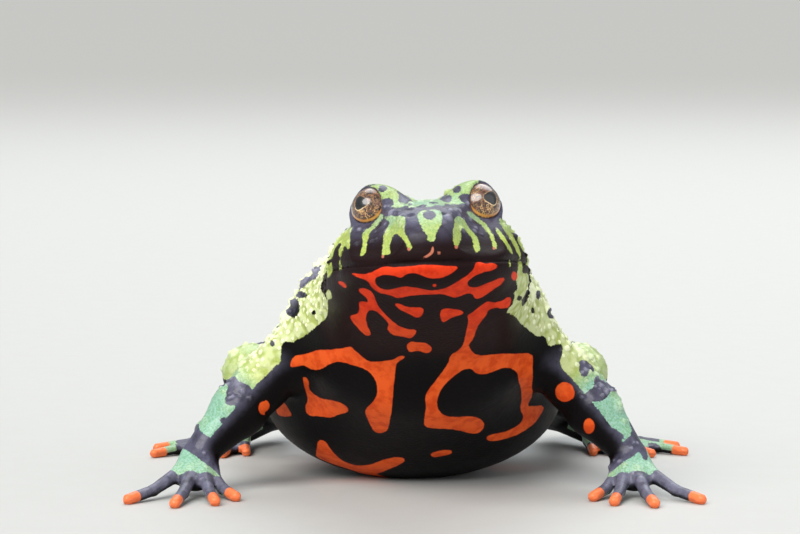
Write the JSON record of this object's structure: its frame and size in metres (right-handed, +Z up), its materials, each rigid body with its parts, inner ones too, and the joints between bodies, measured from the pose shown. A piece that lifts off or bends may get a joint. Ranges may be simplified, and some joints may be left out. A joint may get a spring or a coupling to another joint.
{
  "type": "oriental fire-bellied toad",
  "caption": "Life-size oriental fire-bellied toad sitting up on its hands, green and black warty back, orange and black underside.",
  "frame": {"origin": "middle of the toad's outline from above, on the floor it sits on", "axes": "+Z up, -Y the way the toad faces, +X to the toad's left"},
  "size_m": [0.0528, 0.0542, 0.0295],
  "materials": {
    "skin": "moist skin, green and black above, orange and black below",
    "eye": "wet and clear, bronze iris"
  },
  "bodies": {
    "root": {"head": "skin", "torso": "skin", "eye_left": "eye", "eye_right": "eye", "upper_arm_left": "skin", "forearm_left": "skin", "hand_left": "skin", "thigh_left": "skin", "shank_left": "skin", "foot_left": "skin", "upper_arm_right": "skin", "forearm_right": "skin", "hand_right": "skin", "thigh_right": "skin", "shank_right": "skin", "foot_right": "skin"}
  },
  "joints": []
}
